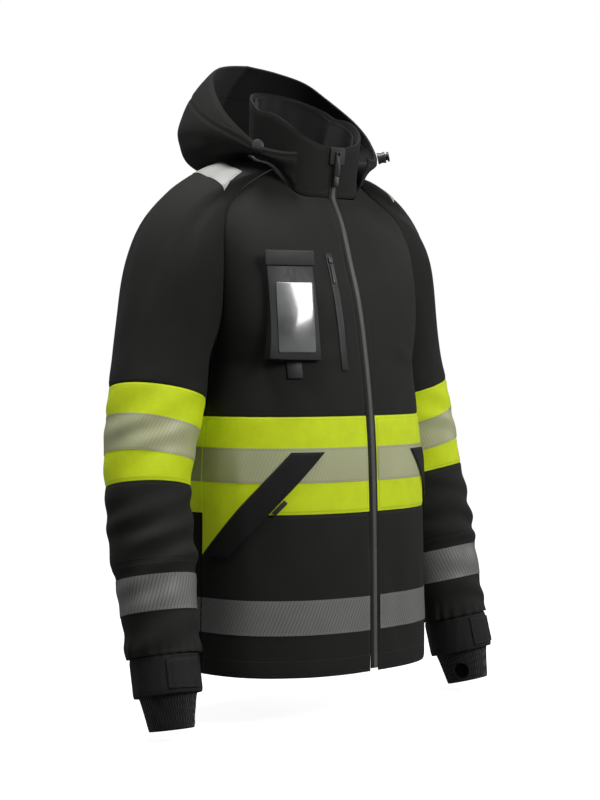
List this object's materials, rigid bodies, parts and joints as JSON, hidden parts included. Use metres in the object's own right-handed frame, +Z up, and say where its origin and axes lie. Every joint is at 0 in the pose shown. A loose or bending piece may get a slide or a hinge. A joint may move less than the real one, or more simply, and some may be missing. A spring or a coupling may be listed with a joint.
{
  "type": "hooded high-visibility work jacket",
  "caption": "Black hooded softshell work jacket with fluorescent bands, reflective tape, front and chest zips, slanted hand pockets, badge holder and thumb-hole cuffs.",
  "frame": {"origin": "middle of the neck opening, level with the back of the neck seam", "axes": "+Z up, -Y out of the wearer's chest, +X to the wearer's left"},
  "size_m": [0.7252, 0.3468, 0.9759],
  "materials": {
    "shell_cloth": "matt black softshell, fine weave",
    "hood_cloth": "matt black softshell, fine weave",
    "trim_cloth": "black binding cloth",
    "badge_holder_cloth": "black coated cloth",
    "fluorescent_cloth": "fluorescent yellow woven cloth",
    "reflective_tape": "silver grey reflective tape",
    "rib_knit": "black knitted rib",
    "zip_teeth": "dark moulded teeth",
    "zip_metal": "dark plated zinc",
    "cord_lock_plastic": "black moulded plastic",
    "clear_window": "clear soft plastic, smooth"
  },
  "bodies": {
    "jacket_body": {"back_panel": "shell_cloth", "chest_panel_left": "shell_cloth", "chest_panel_right": "shell_cloth", "chest_zip": "zip_teeth", "chin_guard": "trim_cloth", "collar": "hood_cloth", "elbow_left": "shell_cloth", "elbow_right": "shell_cloth", "hem_tape_back": "reflective_tape", "hem_tape_left": "reflective_tape", "hem_tape_right": "reflective_tape", "hood": "hood_cloth", "id_loop": "trim_cloth", "id_pocket": "badge_holder_cloth", "id_window": "clear_window", "pocket_welt_left": "trim_cloth", "pocket_welt_right": "trim_cloth", "raglan_left": "shell_cloth", "raglan_right": "shell_cloth", "shoulder_patch_left": "reflective_tape", "shoulder_patch_right": "reflective_tape", "skirt_panel_back": "shell_cloth", "skirt_panel_left": "shell_cloth", "skirt_panel_right": "shell_cloth", "upper_sleeve_left": "shell_cloth", "upper_sleeve_right": "shell_cloth", "waist_band_back": "fluorescent_cloth", "waist_band_left": "fluorescent_cloth", "waist_band_right": "fluorescent_cloth", "waist_tape_back": "reflective_tape", "waist_tape_left": "reflective_tape", "waist_tape_right": "reflective_tape", "zip_half_left": "zip_teeth", "zip_half_right": "zip_teeth"},
    "zip_slider": {"zip_slider": "zip_metal"},
    "zip_puller": {"zip_puller": "zip_metal"},
    "chest_zip_slider": {"chest_zip_slider": "zip_metal"},
    "chest_zip_puller": {"chest_zip_puller": "zip_metal"},
    "id_flap": {"id_flap": "trim_cloth"},
    "hood_rim": {"hood_brim": "hood_cloth", "cord_lock_left": "cord_lock_plastic", "cord_lock_right": "cord_lock_plastic"},
    "pocket_puller_left": {"pocket_zip_puller_left": "zip_metal"},
    "sleeve_left": {"sleeve_band_left": "fluorescent_cloth", "sleeve_tape_left": "reflective_tape"},
    "forearm_left": {"forearm_left": "shell_cloth", "forearm_tape_left": "reflective_tape", "cuff_left": "shell_cloth", "rib_cuff_left": "rib_knit"},
    "cuff_tab_left": {"cuff_tab_left": "trim_cloth"},
    "cord_button_left": {"cord_button_left": "cord_lock_plastic"},
    "pocket_puller_right": {"pocket_zip_puller_right": "zip_metal"},
    "sleeve_right": {"sleeve_band_right": "fluorescent_cloth", "sleeve_tape_right": "reflective_tape"},
    "forearm_right": {"forearm_right": "shell_cloth", "forearm_tape_right": "reflective_tape", "cuff_right": "shell_cloth", "rib_cuff_right": "rib_knit"},
    "cuff_tab_right": {"cuff_tab_right": "trim_cloth"},
    "cord_button_right": {"cord_button_right": "cord_lock_plastic"}
  },
  "joints": [
    {"name": "front_zip_travel", "type": "hinge", "parent": "jacket_body", "child": "zip_slider", "pos_m": [0, 1.1519, -0.51074], "axis": [1, 0, 0], "range_deg": [0, 20.3]},
    {"name": "front_puller_flip", "type": "hinge", "parent": "zip_slider", "child": "zip_puller", "pos_m": [0, -0.0771, -0.03623], "axis": [1, 0, 0], "range_deg": [0, 140]},
    {"name": "chest_zip_travel", "type": "hinge", "parent": "jacket_body", "child": "chest_zip_slider", "pos_m": [0, 0.52211, -0.37763], "axis": [1, 0, 0], "range_deg": [0, 10.9]},
    {"name": "chest_puller_flip", "type": "hinge", "parent": "chest_zip_slider", "child": "chest_zip_puller", "pos_m": [-0.04498, -0.1098, -0.17133], "axis": [-0.9995, 0.0329, 0], "range_deg": [0, 120]},
    {"name": "badge_flap_lift", "type": "hinge", "parent": "jacket_body", "child": "id_flap", "pos_m": [-0.12868, -0.10719, -0.15346], "axis": [-0.938, 0.3466, 0], "range_deg": [0, 100]},
    {"name": "pocket_puller_flip_left", "type": "hinge", "parent": "jacket_body", "child": "pocket_puller_left", "pos_m": [0.14787, -0.11967, -0.51293], "axis": [-0.525, -0.4739, -0.707], "range_deg": [0, 80]},
    {"name": "shoulder_swing_left", "type": "hinge", "parent": "jacket_body", "child": "sleeve_left", "pos_m": [0.205, 0.03, -0.2], "axis": [0, -1, 0], "range_deg": [0, 60], "deforming": ["upper_sleeve_left"]},
    {"name": "elbow_bend_left", "type": "hinge", "parent": "sleeve_left", "child": "forearm_left", "pos_m": [0.294, 0.008, -0.535], "axis": [-1, 0, 0], "range_deg": [0, 60], "deforming": ["elbow_left"]},
    {"name": "cuff_tab_open_left", "type": "hinge", "parent": "forearm_left", "child": "cuff_tab_left", "pos_m": [0.34369, -0.08634, -0.74058], "axis": [-0.0557, 0.2278, 0.9721], "range_deg": [0, 70]},
    {"name": "cord_button_press_left", "type": "slide", "parent": "hood_rim", "child": "cord_button_left", "axis": [-0.6745, 0.7119, -0.1956], "range_m": [0, 0.0025], "stiffness_N_per_m": 700, "springref_m": -0.0012},
    {"name": "pocket_puller_flip_right", "type": "hinge", "parent": "jacket_body", "child": "pocket_puller_right", "pos_m": [-0.14787, -0.11967, -0.51293], "axis": [-0.525, 0.4739, 0.707], "range_deg": [0, 80]},
    {"name": "shoulder_swing_right", "type": "hinge", "parent": "jacket_body", "child": "sleeve_right", "pos_m": [-0.205, 0.03, -0.2], "axis": [0, 1, 0], "range_deg": [0, 60], "deforming": ["upper_sleeve_right"]},
    {"name": "elbow_bend_right", "type": "hinge", "parent": "sleeve_right", "child": "forearm_right", "pos_m": [-0.294, 0.008, -0.535], "axis": [-1, 0, 0], "range_deg": [0, 60], "deforming": ["elbow_right"]},
    {"name": "cuff_tab_open_right", "type": "hinge", "parent": "forearm_right", "child": "cuff_tab_right", "pos_m": [-0.34369, -0.08634, -0.74058], "axis": [-0.0557, -0.2278, -0.9721], "range_deg": [0, 70]},
    {"name": "cord_button_press_right", "type": "slide", "parent": "hood_rim", "child": "cord_button_right", "axis": [0.6745, 0.7119, -0.1956], "range_m": [0, 0.0025], "stiffness_N_per_m": 700, "springref_m": -0.0012},
    {"name": "hood_raise", "type": "hinge", "parent": "jacket_body", "child": "hood_rim", "pos_m": [0, -0.068, -0.01], "axis": [1, 0, 0], "range_deg": [0, 40], "deforming": ["hood"]}
  ]
}
